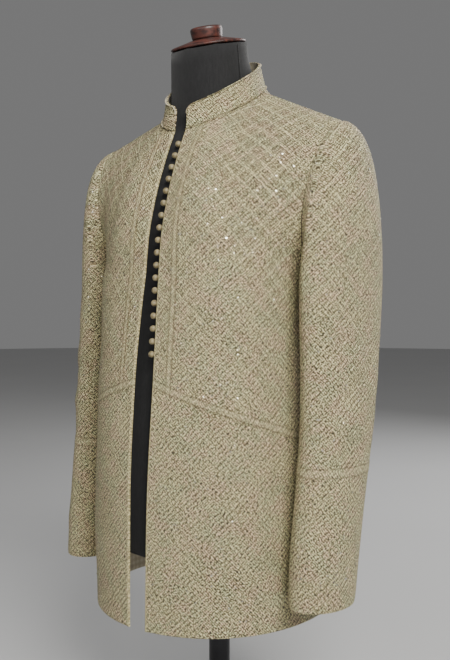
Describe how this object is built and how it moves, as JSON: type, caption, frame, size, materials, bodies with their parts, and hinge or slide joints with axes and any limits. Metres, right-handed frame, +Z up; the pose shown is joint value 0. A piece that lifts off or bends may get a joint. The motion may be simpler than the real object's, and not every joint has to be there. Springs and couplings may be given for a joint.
{
  "type": "bandhgala jacket on a limbless dress form with a stand",
  "caption": "Open-fronted bandhgala jacket in champagne embroidered cloth with ball buttons, worn by a limbless dress form with a turned wooden neck cap on a round stand.",
  "frame": {"origin": "centre of the stand's base at its underside, on the floor", "axes": "+Z up, front of the jacket towards -Y, the wearer's left towards +X"},
  "size_m": [0.488, 0.3275, 1.0138],
  "materials": {
    "embroidered_cloth": "matt, dense thread embroidery",
    "button_cloth": "satin",
    "form_cloth": "matt",
    "turned_wood": "polished",
    "stand_metal": "satin"
  },
  "bodies": {
    "root": {"front_upper_left": "embroidered_cloth", "front_skirt_left": "embroidered_cloth", "back_left": "embroidered_cloth", "top_sleeve_left": "embroidered_cloth", "under_sleeve_left": "embroidered_cloth", "front_upper_right": "embroidered_cloth", "front_skirt_right": "embroidered_cloth", "back_right": "embroidered_cloth", "top_sleeve_right": "embroidered_cloth", "under_sleeve_right": "embroidered_cloth", "collar": "embroidered_cloth", "button_01": "button_cloth", "button_02": "button_cloth", "button_03": "button_cloth", "button_04": "button_cloth", "button_05": "button_cloth", "button_06": "button_cloth", "button_07": "button_cloth", "button_08": "button_cloth", "button_09": "button_cloth", "button_10": "button_cloth", "button_11": "button_cloth", "button_12": "button_cloth", "button_13": "button_cloth", "button_14": "button_cloth", "button_15": "button_cloth", "button_16": "button_cloth", "button_17": "button_cloth", "button_18": "button_cloth", "form_torso": "form_cloth", "neck_cap": "turned_wood", "neck_knob": "turned_wood", "stand_pole": "stand_metal", "stand_base": "stand_metal"}
  },
  "joints": []
}
